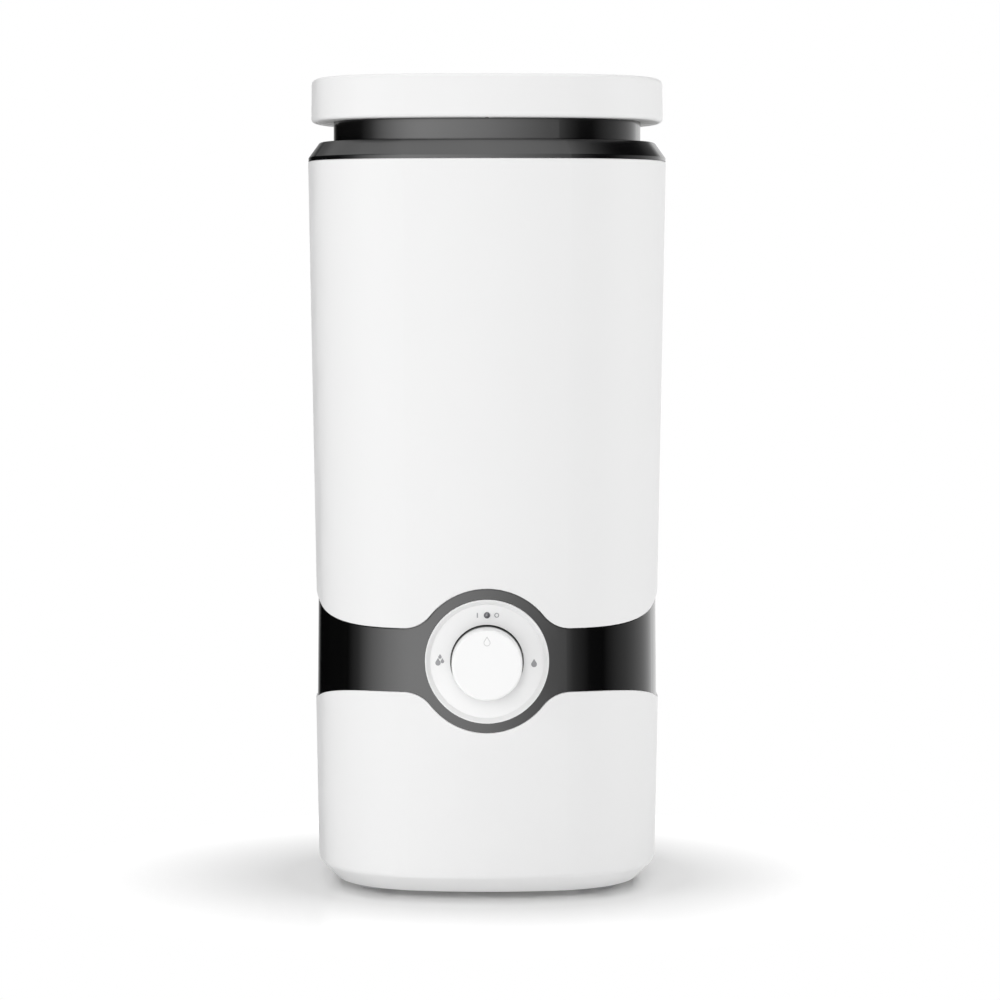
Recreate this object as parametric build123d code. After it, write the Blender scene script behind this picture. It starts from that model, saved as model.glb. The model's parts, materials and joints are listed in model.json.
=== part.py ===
from build123d import *
import math
import os

# Cool mist humidifier, millimetres, +Z up, front towards -Y.
# The body is built round its own axis and moved back a little on export, so
# that the origin lies on the floor under the middle of the whole object.
BODY_AXIS_Y = 7.0

# ---- rounded-square section shared by every housing part ----
SIDE_CENTRE = 1.2        # side arc centre beyond the axis, per unit half width
CORNER_CENTRE = 0.3198   # corner arc centre on the diagonal, per unit half width
SIDE_RADIUS = 1 + SIDE_CENTRE
CORNER_RADIUS = SIDE_RADIUS - math.hypot(CORNER_CENTRE, CORNER_CENTRE + SIDE_CENTRE)
SIDE_ANGLE = math.degrees(math.atan2(CORNER_CENTRE, CORNER_CENTRE + SIDE_CENTRE))

# ---- overall levels ----
RIM_Z = 2.9              # underside of the housing
CREASE_Z = 10.7          # top of the foot chamfer
BAND_LOW_Z = 95.7        # band edges at the middle of the front
BAND_HIGH_Z = 124.1
DIAL_Z = 109.9
FLOOR_Z = 147.0          # underside of the tank floor
TANK_TOP_Z = 337.9
COLLAR_TOP_Z = 346.6
LID_Z = 356.2
TOP_Z = 375.9

# ---- half widths ----
RIM_HALF = 72.3
CREASE_HALF = 79.86
BASE_DRAFT = 0.0175      # outward lean of the base wall
BAND_HALF = 80.1
SLEEVE_HALF = 77.9
TANK_DRAFT = 0.017       # outward lean of the tank wall
TANK_REF = (135.0, 80.77)
COLLAR_HALF = 84.05
COLLAR_TOP_HALF = 79.0
LID_HALF_LOW = 82.7
LID_HALF_HIGH = 82.4
NECK_HALF = 72.2
WALL = 2.4
JOIN = 0.04              # glue line between pieces of one body

# ---- band edge: flat at front and back, arched at the sides ----
ARCH_RISE = 12.0         # upper edge at the sides
ARCH_FALL = 10.0         # lower edge at the sides
ARCH_REACH = 77.0
RING_R = 32.6
RING_FILLET = 16.0
SEAM = 0.55              # visible gap between band and tank
SHUT = 0.15              # gap between band and base housing

# ---- dial, along Y ----
PLATE_R = 28.2
PLATE_HALF = 81.9        # rim of the dial plate
DISH_R = 27.8
DISH_HALF = 80.6         # floor of the dial plate inside its rim
DISH_BEVEL = 2.0
PLATE_BACK_Y = -77.2
POCKET_Y = -77.0         # floor of the band's round pocket
KNOB_HOLE_R = 16.8
KNOB_R = 16.1
KNOB_TIP_R = 15.95
KNOB_FRONT_Y = -98.0
KNOB_BACK_Y = -77.6
KNOB_FACE = 2.2          # thickness of the knob's front
KNOB_BOSS_Y = -80.6
SHAFT_R = 3.0
SHAFT_FRONT_Y = -93.0
SHAFT_BACK_Y = -66.5
BUSHING_R = 3.9
RUN_FIT = 0.06           # radial clearance of a running fit
LED_RISE = 21.1
LED_R = 1.5

# ---- places inside ----
FAN = (-40.0, 0.0)
VALVE = (0.0, 48.0)
FLOAT = (46.0, 0.0)
STUB = (-45.0, 0.0)
BASIN_Z = 124.0
BASIN_FLOOR_Z = 126.2
BASIN_TOP = 144.0
BASIN_HALF = 75.5
WELL_R = 22.0
WELL_Z = 106.0
STUB_R = 13.0


def squircle(half, z=0.0):
    """Rounded square of eight tangent arcs."""
    arcs = []
    for quarter in range(4):
        turn = 90 * quarter
        side = Vector(0, SIDE_CENTRE * half).rotate(Axis.Z, turn)
        corner = Vector(CORNER_CENTRE * half, -CORNER_CENTRE * half).rotate(Axis.Z, turn)
        start = turn - 90
        arcs.append(CenterArc(side, SIDE_RADIUS * half, start - SIDE_ANGLE, 2 * SIDE_ANGLE))
        arcs.append(CenterArc(corner, CORNER_RADIUS * half, start + SIDE_ANGLE, 90 - 2 * SIDE_ANGLE))
    return Pos(0, 0, z) * make_face(arcs)


def stack(*levels):
    """Solid through rounded squares given as (height, half width)."""
    return loft([squircle(half, z) for z, half in levels], ruled=True)


def column(half, low, high):
    """Straight rounded-square column."""
    return stack((low, half), (high, half))


def frame(outer, inner, low, high):
    """Straight rounded-square ring."""
    return column(outer, low, high) - column(inner, low - 1, high + 1)


def tube(radius, low, high, at=(0.0, 0.0)):
    """Upright cylinder between two heights."""
    return Pos(at[0], at[1], (low + high) / 2) * Cylinder(radius, high - low)


def ring(outer, inner, low, high, at=(0.0, 0.0)):
    return tube(outer, low, high, at) - tube(inner, low - 1, high + 1, at)


def bar(radius, back, front, x=0.0, z=DIAL_Z, tip=None):
    """Cylinder along Y between two depths, or a cone when it has a tip radius."""
    place = Pos(x, (back + front) / 2, z) * Rot(90, 0, 0)
    if tip is None:
        return place * Cylinder(radius, abs(front - back))
    return place * Cone(radius, tip, abs(front - back))


def block(low, high):
    size = [b - a for a, b in zip(low, high)]
    middle = [(a + b) / 2 for a, b in zip(low, high)]
    return Pos(*middle) * Box(*size)


def tank_half(z):
    return TANK_REF[1] + TANK_DRAFT * (z - TANK_REF[0])


def base_half(z):
    return CREASE_HALF + BASE_DRAFT * (z - CREASE_Z)


def edge_round(solid, z, radius):
    """Round the outer edges of a housing part at one height."""
    edges = [e for e in solid.edges() if abs(e.center().Z - z) < 0.01]
    reach = max(e.center().X for e in edges)
    outer = [e for e in edges if math.hypot(e.center().X, e.center().Y) > reach - 1.0]
    return fillet(outer, radius)


def faces_outward(face):
    """True for a housing's outer wall, whose normal points away from the axis."""
    at = face.center()
    normal = face.normal_at(at)
    out = math.hypot(at.X, at.Y)
    return out > 60 and (normal.X * at.X + normal.Y * at.Y) / out > 0.8


def trim_round(solid, low, high, radius=0.4):
    """Round the outer edges that the band's cut leaves between two heights."""
    edges = [e for f in solid.faces() if faces_outward(f) for e in f.edges()]
    lone = [e for e in edges if sum(e.is_same(other) for other in edges) == 1]
    return fillet([e for e in lone if low < e.center().Z < high], radius)


def arch(y, height):
    """Extra band width at depth y, greatest at the middle of the sides."""
    return height * (1 + math.cos(math.pi * y / ARCH_REACH)) / 2


def band_limit(upward, grow):
    """Everything on the band's side of its upper (or lower) edge."""
    sign = 1 if upward else -1
    height = ARCH_RISE if upward else ARCH_FALL
    level = (BAND_HIGH_Z if upward else BAND_LOW_Z) + sign * grow
    far = 0.0 if upward else 260.0
    depths = [ARCH_REACH * (i / 6 - 1) for i in range(13)]
    curve = Spline(
        [(y, level + sign * arch(y, height)) for y in depths], tangents=[(1, 0), (1, 0)]
    )
    outline = Polyline(
        (ARCH_REACH, level), (100, level), (100, far), (-100, far), (-100, level),
        (-ARCH_REACH, level),
    )
    side = Plane.YZ * make_face([curve, outline])
    strip = extrude(side, 100, both=True)
    front = Pos(0, (level + far) / 2) * Rectangle(130, abs(level - far))
    front += Pos(0, DIAL_Z) * Circle(RING_R + grow)
    joins = [
        v for v in front.vertices() if abs(v.Y - level) < 0.01 and abs(v.X) < 40
    ]
    front = fillet(joins, RING_FILLET - grow)
    mask = Pos(0, -30, 0) * extrude(Plane.XZ * front, 80)
    return strip + mask


def spaced(radius, count, start=0.0, about=(0.0, 0.0)):
    """Points on a circle."""
    angles = [math.radians(start + 360 * i / count) for i in range(count)]
    return [(about[0] + radius * math.cos(a), about[1] + radius * math.sin(a)) for a in angles]


def corners(x, y, about=(0.0, 0.0)):
    return [(about[0] + sx * x, about[1] + sy * y) for sx in (-1, 1) for sy in (-1, 1)]


def save(name, *shapes):
    """Write one node from one or more pieces, moved to the object's frame."""
    solids = [Pos(0, BODY_AXIS_Y, 0) * solid for shape in shapes for solid in shape.solids()]
    node = solids[0] if len(solids) == 1 else Compound(children=solids)
    export_step(node, f"parts/{name}.step")


SCREW_HEAD = 1.6


def screw(at, seat, length, head_r=2.9, shank_r=1.45):
    """Pan-head screw driven upwards against a seat, with a cross recess."""
    head = tube(head_r, seat - SCREW_HEAD, seat, at)
    shank = tube(shank_r, seat, seat + length, at)
    arm = Pos(at[0], at[1], seat - SCREW_HEAD + 0.3) * Box(3.2, 0.7, 1.0)
    cross = arm + Pos(at[0], at[1], seat - SCREW_HEAD + 0.3) * Box(0.7, 3.2, 1.0)
    return head + shank - cross


os.makedirs("parts", exist_ok=True)
below_top = band_limit(True, 0.0)
above_bottom = band_limit(False, 0.0)

# ================= base housing =================
PLATE_SCREWS = corners(40.0, 54.0)
PLATE_LOW = 3.2
PLATE_HIGH = 5.8
POST_TOP = 30.0
GLAND_Z = 22.0
GLAND_R = 6.6


def base_cavity(shrink):
    """Hollow of the base housing."""
    return stack(
        (RIM_Z - 1, RIM_HALF - WALL - 1 - shrink),
        (CREASE_Z, CREASE_HALF - WALL - 0.6 - shrink),
        (160.0, base_half(160.0) - WALL - shrink),
    )


base_shell = stack(
    (RIM_Z, RIM_HALF), (CREASE_Z, CREASE_HALF), (150.0, base_half(150.0))
)
base_shell = edge_round(base_shell, CREASE_Z, 3.4)
base_shell -= base_cavity(0.0)
base_shell -= band_limit(False, SHUT)
base_shell = trim_round(base_shell, 60.0, 120.0)
base_shell -= bar(GLAND_R, 60, 100, 0, GLAND_Z)
save("base_shell", base_shell)

screw_posts = []
for x, y in PLATE_SCREWS:
    post = tube(4.5, PLATE_HIGH + 0.1, POST_TOP, (x, y))
    wall_y = math.copysign(76, y)
    web = block((x - 1.2, min(y, wall_y), PLATE_HIGH + 0.1), (x + 1.2, max(y, wall_y), POST_TOP))
    screw_posts.append((post + web & base_cavity(JOIN)) - tube(1.5, 5.0, 20.0, (x, y)))
save("screw_posts", *screw_posts)

bottom_plate = stack((PLATE_LOW, 69.0), (PLATE_HIGH, 69.6))
VENT_PITCH = 6.0
VENT_REACH = 22.0
for i in range(-3, 4):
    half_length = math.sqrt(VENT_REACH**2 - (VENT_PITCH * i) ** 2)
    slot = Pos(FAN[0] + VENT_PITCH * i, FAN[1]) * Rot(0, 0, 90) * SlotOverall(2 * half_length, 3.2)
    bottom_plate -= Pos(0, 0, PLATE_LOW - 0.2) * extrude(slot, 3)
for at in PLATE_SCREWS:
    bottom_plate -= tube(1.7, 2, 7, at) + tube(3.2, 2, 4.4, at)
FAN_POSTS = corners(21.0, 21.0, FAN)
BOARD_POSTS = corners(22.0, 31.0, (36.0, 0.0))
for at in FAN_POSTS:
    bottom_plate += tube(3.0, PLATE_HIGH, 9.0, at)
for at in BOARD_POSTS:
    bottom_plate += tube(3.0, PLATE_HIGH, 12.0, at)
save("bottom_plate", bottom_plate)

feet = []
for at in corners(50.8, 39.0):
    pad = tube(8.6, 0.0, PLATE_LOW, at)
    feet.append(fillet(pad.edges().group_by(Axis.Z)[0], 0.8))
save("feet", *feet)

save("plate_screws", *[screw(at, 4.4, 12.0) for at in PLATE_SCREWS])

cord_gland = bar(GLAND_R - 0.1, 75.6, 82.4, 0, GLAND_Z)
cord_gland += bar(9.0, 80.6, 82.4, 0, GLAND_Z) + bar(8.6, 73.6, 75.8, 0, GLAND_Z)
cord_gland += bar(5.6, 66.0, 73.7, 0, GLAND_Z)
cord_gland -= bar(3.5, 60, 90, 0, GLAND_Z)
save("cord_gland", cord_gland)

# ================= control band =================
skin = stack((60, BAND_HALF + 0.5), (160, BAND_HALF - 0.5))
skin -= column(SLEEVE_HALF - 0.5, 50, 170)
skin &= below_top
skin &= above_bottom
sleeve = frame(SLEEVE_HALF, SLEEVE_HALF - 2, 75, BASIN_TOP)
ledge = column(SLEEVE_HALF - 0.5, 119.5, BASIN_Z)
ledge -= stack((119.4, 76.0), (122.0, 73.4), (125.0, 73.4))
control_band = skin + sleeve + ledge
control_band -= bar(PLATE_R + 0.2, POCKET_Y, -95)
control_band -= bar(BUSHING_R + 0.1, -60, -95)
save("control_band", control_band)

# ================= dial =================
dial_plate = bar(PLATE_R, PLATE_BACK_Y, -95) & column(PLATE_HALF, 60, 160)
dial_plate -= bar(DISH_R, PLATE_BACK_Y, -95) - column(DISH_HALF, 60, 160)
floor_edge = sorted(dial_plate.edges().filter_by(GeomType.BSPLINE), key=lambda e: e.center().Y)[-1]
dial_plate = chamfer(floor_edge, 1.25, DISH_BEVEL)
dial_plate -= bar(KNOB_HOLE_R, PLATE_BACK_Y + 1, -95)
dial_plate -= bar(LED_R, -78.6, -95, 0, DIAL_Z + LED_RISE)
save("dial_plate", dial_plate)

led_at = DIAL_Z + LED_RISE
led_lens = bar(LED_R, -78.6, -DISH_HALF, 0, led_at)
led_dome = Pos(0, -DISH_HALF, led_at) * Sphere(LED_R)
led_lens += led_dome & block((-3, -83, led_at - 3), (3, -DISH_HALF, led_at + 3))
save("led_lens", led_lens)

TIP_RATIO = 1.9          # height of a drop's tip over its bowl radius


def drop(width, x, z):
    """Water drop outline, tip up, with its bowl centred on (x, z)."""
    r = width / 2
    tip = TIP_RATIO * r
    touch = math.acos(r / tip)
    left = (x - r * math.sin(touch), z + r * math.cos(touch))
    right = (x + r * math.sin(touch), z + r * math.cos(touch))
    sides = [Line(left, (x, z + tip)), Line((x, z + tip), right)]
    bowl = ThreePointArc(right, (x, z - r), left)
    return make_face(sides + [bowl])


def printed(shape, thickness=0.12):
    """Thin print on the plate's curved floor."""
    layer = frame(DISH_HALF + thickness, DISH_HALF, 60, 160)
    return layer & (Pos(0, -60, 0) * extrude(Plane.XZ * shape, 40))


# low mist on the right (one drop), high mist on the left (three drops)
DROPS = ((2.6, 21.4, -1.4), (2.4, -22.3, -0.8), (1.5, -21.4, 1.9), (1.6, -20.3, -0.1))
marks = [drop(width, x, DIAL_Z + rise) for width, x, rise in DROPS]
marks.append(Pos(-4.4, led_at) * Rectangle(0.5, 2.2))
marks.append(Pos(4.4, led_at) * (Circle(1.1) - Circle(0.7)))
save("dial_marks", *[printed(mark) for mark in marks])

# potentiometer: body, threaded bushing and three solder legs
potentiometer = bar(8.5, -65.0, -75.6) + bar(BUSHING_R, -75.0, -78.6)
potentiometer -= bar(SHAFT_R + RUN_FIT, SHAFT_BACK_Y + 0.5, -95)
for dx in (-4.0, 0.0, 4.0):
    potentiometer += block((dx - 0.6, -72.4, DIAL_Z - 14.0), (dx + 0.6, -71.8, DIAL_Z - 7.5))
save("potentiometer", potentiometer)

nut_face = Plane.XZ * (RegularPolygon(6.6, 6) - Circle(BUSHING_R))
save("pot_nut", Pos(0, POCKET_Y, DIAL_Z) * extrude(nut_face, 1.5))

POINTER_RISE = 10.3
POINTER_DEPTH = 0.25
knob_inside_y = KNOB_FRONT_Y + KNOB_FACE
knob = bar(KNOB_R, KNOB_BACK_Y, KNOB_FRONT_Y, tip=KNOB_TIP_R)
knob = fillet(knob.edges().group_by(Axis.Y)[0], 1.0)
knob -= bar(13.6, -70, knob_inside_y)
knob += bar(5.5, KNOB_BOSS_Y, knob_inside_y - 0.2)
RIB_BACK_Y = -83.0
for angle in (0, 60, 120):
    rib = Pos(0, (RIB_BACK_Y + knob_inside_y) / 2, 0) * Box(27.6, RIB_BACK_Y - knob_inside_y, 1.2)
    knob += Pos(0, 0, DIAL_Z) * Rot(0, angle, 0) * rib
knob -= bar(SHAFT_R, -70, SHAFT_FRONT_Y)
pointer_at = DIAL_Z + POINTER_RISE
pointer_line = Plane.XZ * (drop(3.1, 0, pointer_at) - drop(2.4, 0, pointer_at))
pointer_floor = Pos(0, KNOB_FRONT_Y + POINTER_DEPTH, 0)
save("knob", knob - pointer_floor * extrude(pointer_line, 2))
save("knob_pointer", pointer_floor * extrude(pointer_line, POINTER_DEPTH - 0.05))
shaft_flat = block((-4, SHAFT_FRONT_Y - 1, DIAL_Z + 2.3), (4, -81.0, DIAL_Z + 4))
save("knob_shaft", bar(SHAFT_R, SHAFT_BACK_Y, SHAFT_FRONT_Y) - shaft_flat)

# ================= basin =================
CLAMP_POINTS = spaced(17.0, 3, 90)
DRIVE_POSTS = corners(18.0, 26.0)
BOARD_LOW = 92.0
BOARD_HIGH = 93.7
FLOAT_TOP = 142.0

basin = edge_round(column(BASIN_HALF, BASIN_Z, BASIN_FLOOR_Z), BASIN_Z, 1.0)
basin -= tube(WELL_R + 2, 120, 130) + tube(STUB_R, 120, 130, STUB)
save("basin", basin)
save("basin_rim", frame(BASIN_HALF, BASIN_HALF - 2, BASIN_FLOOR_Z, BASIN_TOP))

basin_well = tube(WELL_R + 2, WELL_Z, BASIN_FLOOR_Z) - tube(WELL_R, WELL_Z + 2.5, 130)
for at in CLAMP_POINTS:
    basin_well += tube(2.8, 103.7, WELL_Z + 1, at)
    basin_well -= tube(1.2, 100.0, WELL_Z + 0.8, at)
save("basin_well", basin_well - tube(8.0, 100, 110))
save("air_stub", ring(STUB_R, STUB_R - 2, 114.0, 142.0, STUB))

basin_posts = [tube(4.0, BASIN_FLOOR_Z, 129.6, VALVE)]
for angle in (0, 60, 120):
    fin = Box(14.0, 1.4, 2.3, align=(Align.CENTER, Align.CENTER, Align.MIN))
    basin_posts[0] += Pos(VALVE[0], VALVE[1], BASIN_FLOOR_Z) * Rot(0, 0, angle) * fin
basin_posts.append(tube(3.0, BASIN_FLOOR_Z, FLOAT_TOP, FLOAT))
for at in DRIVE_POSTS:
    basin_posts.append(tube(3.0, BOARD_HIGH, BASIN_Z, at) - tube(1.2, 90.0, 104.0, at))
save("basin_posts", *basin_posts)

float_clip = fillet(tube(4.6, FLOAT_TOP, 143.4, FLOAT).edges(), 0.4)
save("float_clip", float_clip)
float_ring = ring(10.5, 3.5, 128.4, 135.6, FLOAT)
float_ring = fillet(float_ring.edges().filter_by(GeomType.CIRCLE).sort_by(Axis.Z)[-2:], 0.8)
float_ring -= ring(8.6, 5.4, 128.0, 130.6, FLOAT)
save("float_ring", float_ring)
save("float_magnet", ring(8.5, 5.5, 128.6, 130.6, FLOAT))

# ---- ultrasonic transducer under the well ----
save("transducer_gasket", ring(12.8, 7.8, 103.7, WELL_Z) - tube(10.2, 103.0, 104.8))
save("transducer_disc", tube(10.1, 103.9, 104.8) + tube(6.0, 103.5, 103.9))
clamp = ring(20.6, 8.6, 101.4, 103.7)
for at in CLAMP_POINTS:
    clamp -= tube(1.5, 100, 105, at)
save("transducer_clamp", clamp)
save("clamp_screws", *[screw(at, 101.4, 5.0, 2.4, 1.15) for at in CLAMP_POINTS])

drive_board = block((-23, -31, BOARD_LOW), (23, 31, BOARD_HIGH))
for at in DRIVE_POSTS:
    drive_board -= tube(1.6, 90, 95, at)
save("drive_board", drive_board)
save("board_screws", *[screw(at, BOARD_LOW, 8.0, 2.5, 1.15) for at in DRIVE_POSTS])

heatsink = block((-14, -18, BOARD_LOW - 3), (14, 18, BOARD_LOW))
HEATSINK_PITCH = 4.4
for i in range(7):
    x = -14 + HEATSINK_PITCH * i
    heatsink += block((x, -18, 74.0), (x + 1.6, 18, BOARD_LOW - 2.5))
save("drive_heatsink", heatsink)

drive_parts = [
    ring(6.5, 3.0, BOARD_HIGH, 98.0, (-12, 0)),
    block((-3, -26, BOARD_HIGH), (4, -18, 97.5)),
    tube(3.0, BOARD_HIGH, 99.5, (12, -10)),
    tube(3.0, BOARD_HIGH, 99.5, (12, 0)),
    block((-5, 14, BOARD_HIGH), (7, 22, 99.0)),
]
save("drive_parts", *drive_parts)

# ---- power supply on the bottom plate ----
POWER_Z = 13.6           # top of the power board
power_board = block((10, -35, 12.0), (62, 35, POWER_Z))
power_board -= block((55, -40, 11), (70, -24, 15)) + block((55, 24, 11), (70, 40, 15))
save("power_board", power_board)

core = block((17, -20, POWER_Z), (47, 12, 18.0)) + block((17, -20, 34.0), (47, 12, 38.4))
for y in (-20.0, -8.0, 4.0):
    core += block((17, y, 17.5), (47, y + 8.0, 34.5))
save("transformer", core)
winding = block((12.4, -11.7, 18.4), (51.6, 3.7, 33.6))
winding = fillet(winding.edges().filter_by(Axis.Z), 3.0)
save("windings", winding - block((16.8, -8.2, 18), (47.2, 0.2, 34)))
power_parts = [
    tube(6.0, POWER_Z, 34.0, (22, 23)),
    tube(6.0, POWER_Z, 34.0, (36, 23)),
    tube(4.0, POWER_Z, 26.0, (47, 24)),
    block((14, -33, POWER_Z), (34, -26, 23.0)),
    block((38, -32, POWER_Z), (52, -24, 20.0)),
]
save("power_parts", *power_parts)

# ---- fan ----
FAN_SIZE = 50.0
FAN_PIN_R = 2.0
FAN_LOW = 9.0
FAN_HIGH = 23.0
fan_middle = Pos(FAN[0], FAN[1], (FAN_LOW + FAN_HIGH) / 2)
fan_housing = fan_middle * Box(FAN_SIZE, FAN_SIZE, FAN_HIGH - FAN_LOW)
fan_housing = fillet(fan_housing.edges().filter_by(Axis.Z), 3.0)
fan_housing -= tube(22.6, 0, 30, FAN)
fan_housing += tube(10.0, FAN_LOW, FAN_LOW + 2, FAN)
for angle in (30, 150, 270):
    arm = Pos(16, 0, FAN_LOW + 1) * Box(15, 3.0, 2.0)
    fan_housing += Pos(FAN[0], FAN[1]) * Rot(0, 0, angle) * arm
for at in FAN_POSTS:
    fan_housing -= tube(1.8, 0, 30, at)
save("fan_housing", fan_housing + tube(FAN_PIN_R, FAN_LOW + 1, 20.0, FAN))

rotor = tube(9.6, 11.6, 22.0, FAN)
rotor = fillet(rotor.edges().sort_by(Axis.Z)[-1], 1.0)
rotor -= tube(8.4, 11.0, 19.5, FAN)
rotor += tube(3.6, 13.0, 20.0, FAN)
rotor -= tube(FAN_PIN_R + RUN_FIT, 11.0, 20.3, FAN)
BLADES = 7
for i in range(BLADES):
    blade = Pos(15.2, 0, 16.8) * Rot(38, 0, 0) * Box(13.4, 11.5, 1.2)
    rotor += Pos(FAN[0], FAN[1]) * Rot(0, 0, 360 * i / BLADES) * blade
rotor &= ring(21.8, FAN_PIN_R + RUN_FIT, 11.6, 22.0, FAN)
save("fan_rotor", rotor)

DUCT_LOW_R = 21.6
DUCT_HIGH_R = 13.2
DUCT_BEND_Z = 90.0
DUCT_TOP_Z = 123.0
DUCT_FLANGE_Z = FAN_HIGH + 1.6


def duct(grow):
    """Round to round air path from the fan up to the basin's stub."""
    low = Pos(FAN[0], FAN[1], DUCT_FLANGE_Z) * Circle(DUCT_LOW_R + grow)
    bend = Pos(STUB[0], STUB[1], DUCT_BEND_Z) * Circle(DUCT_HIGH_R + grow)
    return loft([low, bend], ruled=True) + tube(DUCT_HIGH_R + grow, DUCT_BEND_Z, DUCT_TOP_Z, STUB)


flange = Pos(FAN[0], FAN[1], FAN_HIGH + 0.8) * Box(FAN_SIZE, FAN_SIZE, 1.6)
air_duct = duct(1.8) - duct(0.0)
air_duct -= tube(DUCT_LOW_R, 20, DUCT_FLANGE_Z + 0.1, FAN) + tube(DUCT_HIGH_R, 120, 130, STUB)
save("air_duct", air_duct + (flange - tube(DUCT_LOW_R, 20, 30, FAN)))

# ================= tank =================
CHIMNEY_R = 16.0
CHIMNEY_BORE = 13.8
CAP_NECK_R = 14.4
SLEEVE_GAP = 0.35
TANK_FLOOR = 2.6
floor_top = FLOOR_Z + TANK_FLOOR
tank_shell = stack((95.0, tank_half(95.0)), (TANK_TOP_Z, tank_half(TANK_TOP_Z)))
tank_shell = edge_round(tank_shell, TANK_TOP_Z, 0.7)
tank_shell -= band_limit(True, SEAM)
tank_shell -= column(SLEEVE_HALF + SLEEVE_GAP, 80.0, FLOOR_Z)
tank_shell -= stack((FLOOR_Z, tank_half(FLOOR_Z) - WALL), (345.0, tank_half(345.0) - WALL))
tank_shell = trim_round(tank_shell, 100.0, 160.0)
save("tank_shell", tank_shell)

# welded-in floor with the sockets for the chimney and the valve cap
tank_floor = column(tank_half(FLOOR_Z) - WALL - JOIN, FLOOR_Z, floor_top)
tank_floor += tube(19.0, floor_top, FLOOR_Z + 12)
tank_floor -= tube(CHIMNEY_BORE, 100, 200) + tube(CHIMNEY_R, floor_top, 200)
tank_floor += tube(CAP_NECK_R, 139.9, FLOOR_Z, VALVE)
for z in (140.6, 143.4):
    tank_floor += tube(CAP_NECK_R + 0.7, z, z + 1.2, VALVE)
save("tank_floor", tank_floor - tube(12.6, 130, 160, VALVE))

chimney = ring(CHIMNEY_R, CHIMNEY_BORE, floor_top, 345.0)
save("tank_chimney", chimney + ring(CHIMNEY_R + 1.4, CHIMNEY_BORE, 336.0, 338.0))

COLLAR_BREAK_Z = TANK_TOP_Z + 1.7
MOUTH_HALF = 70.8
collar = stack(
    (TANK_TOP_Z, COLLAR_HALF), (COLLAR_BREAK_Z, COLLAR_HALF), (COLLAR_TOP_Z, COLLAR_TOP_HALF)
)
collar = edge_round(collar, COLLAR_TOP_Z, 0.6)
collar = edge_round(collar, COLLAR_BREAK_Z, 0.6)
collar += column(81.25, 328.0, TANK_TOP_Z + 1)
collar -= stack((300.0, 79.2), (338.5, 79.2), (343.6, 75.0))
collar -= column(MOUTH_HALF, 300.0, 350.0)
collar += frame(MOUTH_HALF + 2, MOUTH_HALF, 331.0, 344.5)
save("collar_ring", collar - frame(82.0, 80.2, 332.0, 335.0))
save("collar_gasket", frame(81.6, 80.3, 332.1, 334.9))

# ---- valve in the tank floor ----
CAP_R = 18.0
CAP_RIBS = 20
CAP_LOW = 136.0
CAP_HIGH = 146.6
cap = ring(CAP_R, CAP_NECK_R + 0.85, CAP_LOW, CAP_HIGH, VALVE) + tube(CAP_R, CAP_LOW, 138.4, VALVE)
for i in range(CAP_RIBS):
    rib = Pos(CAP_R, 0, (CAP_LOW + CAP_HIGH) / 2) * Box(1.6, 1.2, CAP_HIGH - CAP_LOW)
    cap += Pos(VALVE[0], VALVE[1]) * Rot(0, 0, 360 * i / CAP_RIBS) * rib
cap += ring(10.4, 8.4, 138.0, 138.9, VALVE)
cap -= tube(2.7, 130, 140, VALVE)
for at in spaced(6.0, 6, about=VALVE):
    cap -= tube(1.9, 130, 140, at)
save("valve_cap", cap)
save("cap_gasket", ring(14.2, 12.8, 138.4, 139.9, VALVE))

plunger = tube(2.62, 129.7, 147.5, VALVE) + tube(5.0, 129.7, 131.0, VALVE)
plunger += tube(10.2, 146.0, 147.6, VALVE) + tube(4.0, 147.0, 149.4, VALVE)
save("valve_plunger", plunger)
save("valve_seal", ring(10.9, 2.7, 144.0, 146.0, VALVE))
coil = Pos(VALVE[0], VALVE[1], 131.5) * Helix(pitch=1.5, height=3.9, radius=3.9)
save("valve_spring", sweep(Plane(origin=coil @ 0, z_dir=coil % 0) * Circle(0.4), path=coil))

# ================= lid =================
NOZZLE_R = 27.0
NOZZLE_GAP = 0.3
SOCKET_R = 19.0
LID_SCREWS = spaced(75.4, 4)
LID_INNER = LID_HALF_LOW - WALL
FLANGE_Z = 359.4
NECK_INNER = 67.8
NECK_GAP = 0.6           # shadow gap between neck and collar
PLUG_HALF = 70.3         # part of the neck that sits inside the collar
lid_cap = stack((LID_Z, LID_HALF_LOW), (TOP_Z, LID_HALF_HIGH))
lid_cap = edge_round(lid_cap, TOP_Z, 2.0)
lid_cap = edge_round(lid_cap, LID_Z, 1.8)
lid_cap -= column(LID_INNER, 350.0, TOP_Z - WALL)
lid_cap -= tube(NOZZLE_R + NOZZLE_GAP, 360, 380)
lid_cap += ring(NOZZLE_R + 2.2, NOZZLE_R + NOZZLE_GAP, 369.0, 374.0)
for at in LID_SCREWS:
    lid_cap += tube(3.0, FLANGE_Z + 2, 374.0, at)
    lid_cap -= tube(1.2, 360.0, 371.0, at)
save("lid_cap", lid_cap)

underplate = frame(LID_INNER - 0.15, NECK_HALF + 0.2, LID_Z + 0.1, FLANGE_Z - 0.1)
for at in LID_SCREWS:
    underplate -= tube(3.1, 350.0, 360.0, at)
save("lid_underplate", underplate)

neck = column(NECK_HALF, COLLAR_TOP_Z + NECK_GAP, FLANGE_Z)
neck += column(PLUG_HALF, 336.0, COLLAR_TOP_Z + NECK_GAP + 0.1)
neck -= column(NECK_INNER, 330.0, 370.0)
save("lid_neck", neck - frame(72.0, 69.2, 340.0, 342.6))
save("neck_seal", frame(70.45, 69.3, 340.1, 342.5))

neck_flange = frame(79.2, NECK_INNER, FLANGE_Z, FLANGE_Z + 2)
for at in LID_SCREWS:
    neck_flange -= tube(1.6, 355, 365, at)
save("neck_flange", neck_flange)

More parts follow.
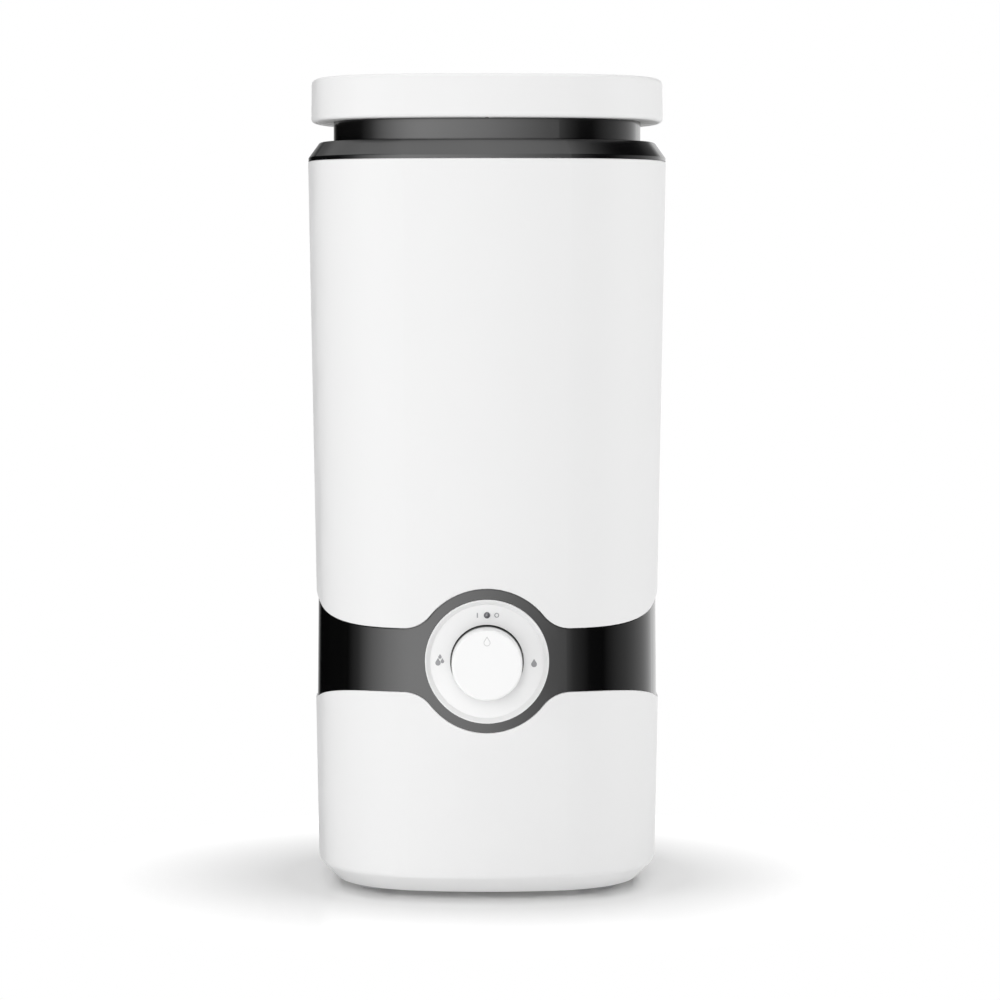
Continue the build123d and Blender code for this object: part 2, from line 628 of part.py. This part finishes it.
neck_floor = column(NECK_INNER - JOIN, 336.0, 338.2) - tube(SOCKET_R + 2.2, 330, 340)
for at in spaced(45.0, 12, 15):
    neck_floor -= tube(2.0, 330, 340, at)
save("neck_floor", neck_floor)
save("mist_guide", ring(SOCKET_R + 2.2, SOCKET_R, 332.0, 369.8))
save("lid_screws", *[screw(at, FLANGE_Z, 10.0, 2.7, 1.15) for at in LID_SCREWS])

nozzle = tube(NOZZLE_R, 371.0, TOP_Z)
nozzle = fillet(nozzle.edges().group_by(Axis.Z)[-1], 0.8)
nozzle -= Pos(0, 0, 404.0) * Sphere(35.0)
nozzle += tube(SOCKET_R - RUN_FIT, 356.0, 371.5)
nozzle -= tube(16.8, 350.0, 368.0)
mouth = Pos(0, 4.0, 360.0) * extrude(SlotOverall(22.0, 13.0), 30)
save("nozzle", nozzle - mouth)
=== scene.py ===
"""Looks of a tall rounded-square cool mist humidifier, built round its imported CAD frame."""
import json
import math

import bpy
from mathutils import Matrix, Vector


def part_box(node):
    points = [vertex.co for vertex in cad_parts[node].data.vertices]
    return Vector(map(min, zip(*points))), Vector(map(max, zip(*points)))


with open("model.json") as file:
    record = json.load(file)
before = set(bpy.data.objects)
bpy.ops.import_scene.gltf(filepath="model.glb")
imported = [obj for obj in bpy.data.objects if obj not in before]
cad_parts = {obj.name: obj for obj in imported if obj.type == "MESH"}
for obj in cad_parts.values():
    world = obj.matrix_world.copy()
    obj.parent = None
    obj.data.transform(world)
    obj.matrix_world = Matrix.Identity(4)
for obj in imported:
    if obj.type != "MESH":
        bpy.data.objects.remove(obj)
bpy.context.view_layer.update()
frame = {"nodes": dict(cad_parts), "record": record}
NODES = frame["nodes"]

# ---- places taken from the frame (metres) ----
tank_low, tank_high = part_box("tank_shell")
AXIS_Y = (tank_low.y + tank_high.y) / 2

DIAL_FRONT_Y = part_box("dial_plate")[0].y
# painted shade: the knob's side is painted dark from a little in front of the dial plate's front to just
# behind it, where it goes into its gap
PAINTED_SHADE_REACH = 0.005
PAINTED_SHADE_DEPTH = 0.0005
KNOB_GAP_SHADE = (DIAL_FRONT_Y - PAINTED_SHADE_REACH, DIAL_FRONT_Y + PAINTED_SHADE_DEPTH)

# ---- camera: front view from a little below the lid ----
CAMERA_DISTANCE = 1.768
CAMERA_HEIGHT = 0.293
CAMERA_PITCH = math.radians(3.714)
CAMERA_LENS = 134.33
CAMERA_SHIFT = 0.0130

# ---- colours (linear) ----
WHITE = (0.80, 0.80, 0.80)
SOFT_WHITE = (0.80, 0.80, 0.79)
DIAL_WHITE = (0.81, 0.81, 0.81)
KNOB_WHITE = (0.85, 0.85, 0.85)
# colour of the painted shade on the knob's side in its gap
PAINTED_SHADE = (0.03, 0.03, 0.03)
BLACK = (0.002, 0.002, 0.0022)
DARK = (0.003, 0.003, 0.0033)
FOOT_GREY = (0.42, 0.42, 0.43)


# ================= materials =================
class Shader:
    """A Principled material with small helpers for its procedural inputs."""

    def __init__(self, name):
        self.material = bpy.data.materials.new(name)
        self.material.use_nodes = True
        self.tree = self.material.node_tree
        self.surface = self.tree.nodes["Principled BSDF"]
        self.place = self.tree.nodes.new("ShaderNodeTexCoord").outputs["Object"]

    def node(self, kind, **settings):
        made = self.tree.nodes.new(kind)
        for key, value in settings.items():
            setattr(made, key, value)
        return made

    def link(self, source, target):
        self.tree.links.new(source, target)

    def noise(self, scale, detail=3.0, roughness=0.5, stretch=None):
        made = self.node("ShaderNodeTexNoise")
        made.inputs["Scale"].default_value = scale
        made.inputs["Detail"].default_value = detail
        made.inputs["Roughness"].default_value = roughness
        place = self.place
        if stretch:
            mapping = self.node("ShaderNodeMapping")
            mapping.inputs["Scale"].default_value = stretch
            self.link(self.place, mapping.inputs["Vector"])
            place = mapping.outputs["Vector"]
        self.link(place, made.inputs["Vector"])
        return made.outputs["Fac"]

    def spread(self, source, low, high, start=0.3, end=0.7):
        made = self.node("ShaderNodeMapRange")
        made.inputs["From Min"].default_value = start
        made.inputs["From Max"].default_value = end
        made.inputs["To Min"].default_value = low
        made.inputs["To Max"].default_value = high
        self.link(source, made.inputs["Value"])
        return made.outputs["Result"]

    def mix(self, factor, first, second):
        made = self.node("ShaderNodeMix", data_type="RGBA")
        self.link(factor, made.inputs["Factor"])
        for socket, value in ((made.inputs["A"], first), (made.inputs["B"], second)):
            if isinstance(value, tuple):
                socket.default_value = (*value, 1.0)
            else:
                self.link(value, socket)
        return made.outputs["Result"]

    def edges(self):
        """High on outer edges, where parts are handled and rub."""
        made = self.node("ShaderNodeNewGeometry")
        return self.spread(made.outputs["Pointiness"], 0.0, 1.0, 0.52, 0.62)

    def bump(self, height, strength, distance, below=None):
        made = self.node("ShaderNodeBump")
        made.inputs["Strength"].default_value = strength
        made.inputs["Distance"].default_value = distance
        self.link(height, made.inputs["Height"])
        if below:
            self.link(below, made.inputs["Normal"])
        return made.outputs["Normal"]

    def set(self, name, value):
        socket = self.surface.inputs[name]
        if isinstance(value, bpy.types.NodeSocket):
            self.link(value, socket)
        else:
            socket.default_value = value


def shade(colour, factor):
    return tuple(min(1.0, c * factor) for c in colour)


def moulded(name, colour, roughness, grain=0.05, coat=0.0, worn=None, clouds=0.97, specular=0.5, gap=None):
    """Injection-moulded plastic: faint clouding, fine grain, uneven gloss, rubbed edges.

    gap is two depths along Y between which the part is painted dark, as painted shade where it goes into a
    deep gap."""
    s = Shader(name)
    cloud = s.spread(s.noise(14.0, 4.0), 0.0, 1.0)
    body = s.mix(cloud, colour, shade(colour, clouds))
    if gap:
        depth = s.node("ShaderNodeSeparateXYZ")
        s.link(s.place, depth.inputs[0])
        # painted shade: the colour turns dark between the two depths, where the part goes into its gap
        body = s.mix(s.spread(depth.outputs["Y"], 0.0, 1.0, *gap), body, PAINTED_SHADE)
    rub = s.edges()
    s.set("Base Color", s.mix(rub, body, worn or body))
    gloss = s.spread(s.noise(55.0, 5.0, 0.6), roughness * 0.86, roughness * 1.16)
    s.set("Roughness", gloss)
    ripple = s.bump(s.noise(130.0, 2.0), grain, 0.0004)
    s.set("Normal", s.bump(s.noise(1900.0, 2.0), grain * 0.8, 0.00008, ripple))
    s.surface.inputs["Specular IOR Level"].default_value = specular
    s.surface.inputs["Coat Weight"].default_value = coat
    s.surface.inputs["Coat Roughness"].default_value = 0.06
    return s.material


def elastomer(name, colour, roughness=0.75):
    """Rubber or silicone: matt, dusty, with a fine stipple."""
    s = Shader(name)
    dust = s.spread(s.noise(70.0, 6.0, 0.7), 0.0, 0.5)
    s.set("Base Color", s.mix(dust, colour, shade(colour, 1.5)))
    s.set("Roughness", s.spread(s.noise(240.0, 3.0), roughness - 0.1, roughness + 0.1))
    s.set("Normal", s.bump(s.noise(2600.0, 2.0), 0.25, 0.00012))
    s.surface.inputs["Specular IOR Level"].default_value = 0.35
    return s.material


def metal(name, colour, roughness, brush=(1.0, 1.0, 40.0), tarnish=0.82):
    """Drawn or stamped metal with fine directional lines and tarnish."""
    s = Shader(name)
    patch = s.spread(s.noise(60.0, 5.0, 0.65), 0.0, 1.0)
    s.set("Base Color", s.mix(patch, colour, shade(colour, tarnish)))
    lines = s.noise(420.0, 4.0, 0.6, brush)
    s.set("Roughness", s.spread(lines, roughness * 0.75, roughness * 1.3))
    s.set("Normal", s.bump(lines, 0.12, 0.00006))
    s.surface.inputs["Metallic"].default_value = 1.0
    return s.material


def board(name, colour):
    """Circuit board: solder mask with tracks showing through."""
    s = Shader(name)
    cells = s.node("ShaderNodeTexVoronoi", feature="DISTANCE_TO_EDGE", distance="MANHATTAN")
    cells.inputs["Scale"].default_value = 260.0
    s.link(s.place, cells.inputs["Vector"])
    track = s.spread(cells.outputs["Distance"], 1.0, 0.0, 0.02, 0.08)
    s.set("Base Color", s.mix(track, colour, shade(colour, 1.9)))
    s.set("Roughness", s.spread(s.noise(90.0, 3.0), 0.25, 0.42))
    s.set("Normal", s.bump(track, 0.3, 0.00005))
    return s.material


def laminated(name, colour):
    """Transformer core: stacked steel sheets."""
    s = Shader(name)
    waves = s.node("ShaderNodeTexWave", bands_direction="Y")
    waves.inputs["Scale"].default_value = 320.0
    waves.inputs["Distortion"].default_value = 0.4
    s.link(s.place, waves.inputs["Vector"])
    rust = s.spread(s.noise(120.0, 5.0, 0.7), 0.0, 0.35, 0.5, 0.75)
    s.set("Base Color", s.mix(rust, colour, (0.22, 0.10, 0.05)))
    s.set("Roughness", s.spread(waves.outputs["Fac"], 0.35, 0.6))
    s.set("Normal", s.bump(waves.outputs["Fac"], 0.4, 0.0001))
    s.surface.inputs["Metallic"].default_value = 0.9
    return s.material


MATERIALS = {
    "white_gloss": moulded("white_gloss", WHITE, 0.36, grain=0.03, clouds=0.995, specular=0.2),
    "white_satin": moulded("white_satin", SOFT_WHITE, 0.45, grain=0.08),
    "black_gloss": moulded("black_gloss", BLACK, 0.10, grain=0.012, worn=(0.003, 0.003, 0.003)),
    "dark_satin": moulded("dark_satin", DARK, 0.16, grain=0.02, worn=(0.006, 0.006, 0.006)),
    "dial_white": moulded("dial_white", DIAL_WHITE, 0.32, grain=0.02, clouds=0.99, specular=0.4),
    # the knob's white, with painted shade on its side where it goes into the gap behind the dial plate
    "knob_white_gap_shade": moulded(
        "knob_white_gap_shade", KNOB_WHITE, 0.32, grain=0.02, clouds=0.99, specular=0.4, gap=KNOB_GAP_SHADE
    ),
    "print_grey": moulded("print_grey", (0.27, 0.27, 0.28), 0.5, grain=0.05),
    "pointer_grey": moulded("pointer_grey", (0.60, 0.60, 0.60), 0.45, grain=0.05),
    "led_grey": moulded("led_grey", (0.10, 0.10, 0.11), 0.12, grain=0.01, coat=0.6),
    "foot_rubber": elastomer("foot_rubber", FOOT_GREY, 0.6),
    "black_rubber": elastomer("black_rubber", (0.015, 0.015, 0.016)),
    "seal_rubber": elastomer("seal_rubber", (0.52, 0.52, 0.50), 0.55),
    "screw_steel": metal("screw_steel", (0.55, 0.55, 0.56), 0.3, (1.0, 1.0, 8.0)),
    "spring_steel": metal("spring_steel", (0.62, 0.62, 0.63), 0.22),
    "nut_brass": metal("nut_brass", (0.72, 0.52, 0.22), 0.25),
    "pot_metal": metal("pot_metal", (0.58, 0.58, 0.60), 0.35),
    "disc_metal": metal("disc_metal", (0.66, 0.62, 0.52), 0.2),
    "heatsink_alu": metal("heatsink_alu", (0.68, 0.69, 0.71), 0.38, (1.0, 30.0, 1.0)),
    "board_green": board("board_green", (0.01, 0.09, 0.035)),
    "part_black": moulded("part_black", (0.012, 0.012, 0.013), 0.5, grain=0.12),
    "core_steel": laminated("core_steel", (0.12, 0.12, 0.13)),
    "winding_tape": moulded("winding_tape", (0.60, 0.42, 0.06), 0.35, grain=0.1),
    "magnet_dark": metal("magnet_dark", (0.10, 0.10, 0.11), 0.5),
}

# nodes with a material of their own: the knob's white is brighter than the rest of its slot and carries
# painted shade in its gap
OWN_MATERIALS = {"knob": "knob_white_gap_shade"}

for part in frame["record"]["subparts"]:
    mesh = NODES[part["node"]].data
    mesh.materials.clear()
    mesh.materials.append(MATERIALS[OWN_MATERIALS.get(part["node"], part["material_slot"])])


# ================= floor, light, camera =================
FLOOR_HALF = 6.0
# distances from the origin between which the floor turns into white background
FLOOR_FADE = (0.095, 0.21)


def make_floor():
    """Pale floor that fades into the white background away from the object."""
    mesh = bpy.data.meshes.new("floor")
    corners = [(x * FLOOR_HALF, y * FLOOR_HALF, 0.0) for x, y in ((-1, -1), (1, -1), (1, 1), (-1, 1))]
    mesh.from_pydata(corners, [], [(0, 1, 2, 3)])
    floor = bpy.data.objects.new("floor", mesh)
    bpy.context.scene.collection.objects.link(floor)
    s = Shader("floor_paint")
    away = s.node("ShaderNodeVectorMath", operation="LENGTH")
    s.link(s.place, away.inputs[0])
    fade = s.spread(away.outputs["Value"], 0.0, 1.0, *FLOOR_FADE)
    paint = s.mix(s.noise(3.0, 2.0), (0.95, 0.95, 0.95), (0.94, 0.94, 0.94))
    s.set("Base Color", s.mix(fade, paint, (0.0, 0.0, 0.0)))
    s.set("Roughness", s.spread(s.noise(20.0, 3.0), 0.10, 0.14))
    s.set("Specular IOR Level", s.spread(fade, 0.5, 0.0, 0.0, 1.0))
    s.set("Emission Color", (1.0, 1.0, 1.0, 1.0))
    s.set("Emission Strength", s.spread(fade, 0.0, 1.0, 0.0, 1.0))
    mesh.materials.append(s.material)
    floor.visible_glossy = False


def area_light(name, place, target, size, power):
    light = bpy.data.lights.new(name, "AREA")
    light.shape = "RECTANGLE"
    light.size, light.size_y = size
    light.energy = power
    lamp = bpy.data.objects.new(name, light)
    lamp.location = place
    lamp.rotation_euler = (Vector(target) - Vector(place)).to_track_quat("-Z", "Y").to_euler()
    lamp.visible_glossy = False
    bpy.context.scene.collection.objects.link(lamp)


# name, place, target, size (metres) and power (watts)
LIGHTS = [
    ("key", (-2.25, -0.8, 0.8), (0, 0, 0.2), (1.2, 1.2), 17.0),
    ("rim", (2.0, -0.3, 0.7), (0, 0, 0.2), (1.0, 1.4), 11.5),
    ("bounce", (0.0, -0.9, 0.02), (0, 0, 0.3), (1.0, 0.4), 0.2),
    ("front", (-0.15, -1.75, 0.48), (0, 0, 0.12), (0.3, 0.75), 6.0),
    ("overhead", (0.0, AXIS_Y, 2.0), (0, AXIS_Y, 0.3), (1.2, 1.2), 12.0),
]

# brightness of the reflected studio, by degrees to the left of the front
AROUND = [
    (-180, 0.95), (-138, 0.95), (-115, 0.85), (-84, 0.40), (-66, 0.0), (-50, 0.02),
    (-32, 0.5), (-20, 1.75), (0, 3.5), (21, 4.5), (30, 4.25), (46, 3.4), (63, 2.1),
    (82, 0.4), (97, 0.0), (132, 0.0), (165, 0.0), (180, 0.95),
]
# brightness of the reflected ceiling, by sideways direction (+1 is right)
OVERHEAD = [
    (-0.9, 0.2), (-0.7, 0.9), (-0.6, 1.7), (-0.3, 2.9), (0.0, 3.0),
    (0.2, 2.4), (0.36, 1.1), (0.55, 0.1), (0.6, 0.0),
]
BRIGHTEST = 4.6
# share of the brightness left in what is reflected from behind and above
BACK_SHADE = 0.22
FILL = 0.44


class WorldTree:
    """The world's node tree with small helpers."""

    def __init__(self, world):
        world.use_nodes = True
        self.tree = world.node_tree
        self.tree.nodes.clear()

    def node(self, kind, *inputs, **settings):
        made = self.tree.nodes.new(kind)
        for key, value in settings.items():
            setattr(made, key, value)
        for socket, value in zip(made.inputs, inputs):
            if isinstance(value, bpy.types.NodeSocket):
                self.tree.links.new(value, socket)
            elif value is not None:
                socket.default_value = value
        return made

    def ramp(self, value, low, high, stops):
        """Brightness over BRIGHTEST, from a value between two limits."""
        scaled = self.node("ShaderNodeMapRange", value, low, high)
        made = self.node("ShaderNodeValToRGB", scaled.outputs["Result"])
        made.color_ramp.interpolation = "LINEAR"
        elements = made.color_ramp.elements
        while len(elements) < len(stops):
            elements.new(0.5)
        for element, (at, bright) in zip(elements, stops):
            element.position = (at - low) / (high - low)
            element.color = (*[bright / BRIGHTEST] * 3, 1.0)
        return made.outputs["Color"]

    def background(self, colour, strength):
        return self.node("ShaderNodeBackground", colour, strength).outputs[0]


def studio_world():
    """White surround for the eye, soft graded light for the object."""
    world = bpy.data.worlds.new("studio")
    bpy.context.scene.world = world
    w = WorldTree(world)
    way = w.node("ShaderNodeTexCoord").outputs["Generated"]
    x, y, z = w.node("ShaderNodeSeparateXYZ", way).outputs
    left = w.node("ShaderNodeMath", x, -1.0, operation="MULTIPLY").outputs[0]
    ahead = w.node("ShaderNodeMath", y, -1.0, operation="MULTIPLY").outputs[0]
    turn = w.node("ShaderNodeMath", left, ahead, operation="ARCTAN2").outputs[0]
    degrees = w.node("ShaderNodeMath", turn, 180 / math.pi, operation="MULTIPLY").outputs[0]
    around = w.ramp(degrees, -180.0, 180.0, AROUND)
    above = w.ramp(x, -1.0, 1.0, OVERHEAD)
    height = w.node("ShaderNodeMapRange", z, 0.2, 0.5).outputs["Result"]
    mixed = w.node("ShaderNodeMix", data_type="RGBA")
    for name, source in (("Factor", height), ("A", around), ("B", above)):
        w.tree.links.new(source, mixed.inputs[name])
    behind = w.node("ShaderNodeMapRange", y, 0.2, 0.8).outputs["Result"]
    raised = w.node("ShaderNodeMapRange", z, 0.1, 0.3).outputs["Result"]
    shaded = w.node("ShaderNodeMath", behind, raised, operation="MULTIPLY").outputs[0]
    strength = w.node("ShaderNodeMapRange", shaded, 0.0, 1.0, BRIGHTEST, BRIGHTEST * BACK_SHADE)
    reflected = w.background(mixed.outputs["Result"], strength.outputs["Result"])
    white = (1.0, 1.0, 1.0, 1.0)
    path = w.node("ShaderNodeLightPath").outputs
    light = w.node("ShaderNodeMixShader", path["Is Glossy Ray"], w.background(white, FILL), reflected)
    seen = w.node("ShaderNodeMixShader", path["Is Camera Ray"], light.outputs[0], w.background(white, 1.0))
    w.node("ShaderNodeOutputWorld", seen.outputs[0])


def make_camera():
    data = bpy.data.cameras.new("camera")
    data.lens = CAMERA_LENS
    data.sensor_width = 36.0
    data.shift_x = CAMERA_SHIFT
    camera = bpy.data.objects.new("camera", data)
    camera.location = (0.0, AXIS_Y - CAMERA_DISTANCE, CAMERA_HEIGHT)
    camera.rotation_euler = (math.pi / 2 - CAMERA_PITCH, 0.0, 0.0)
    bpy.context.scene.collection.objects.link(camera)
    bpy.context.scene.camera = camera


make_floor()
studio_world()
for light in LIGHTS:
    area_light(*light)
make_camera()
bpy.context.scene.view_settings.view_transform = "Standard"
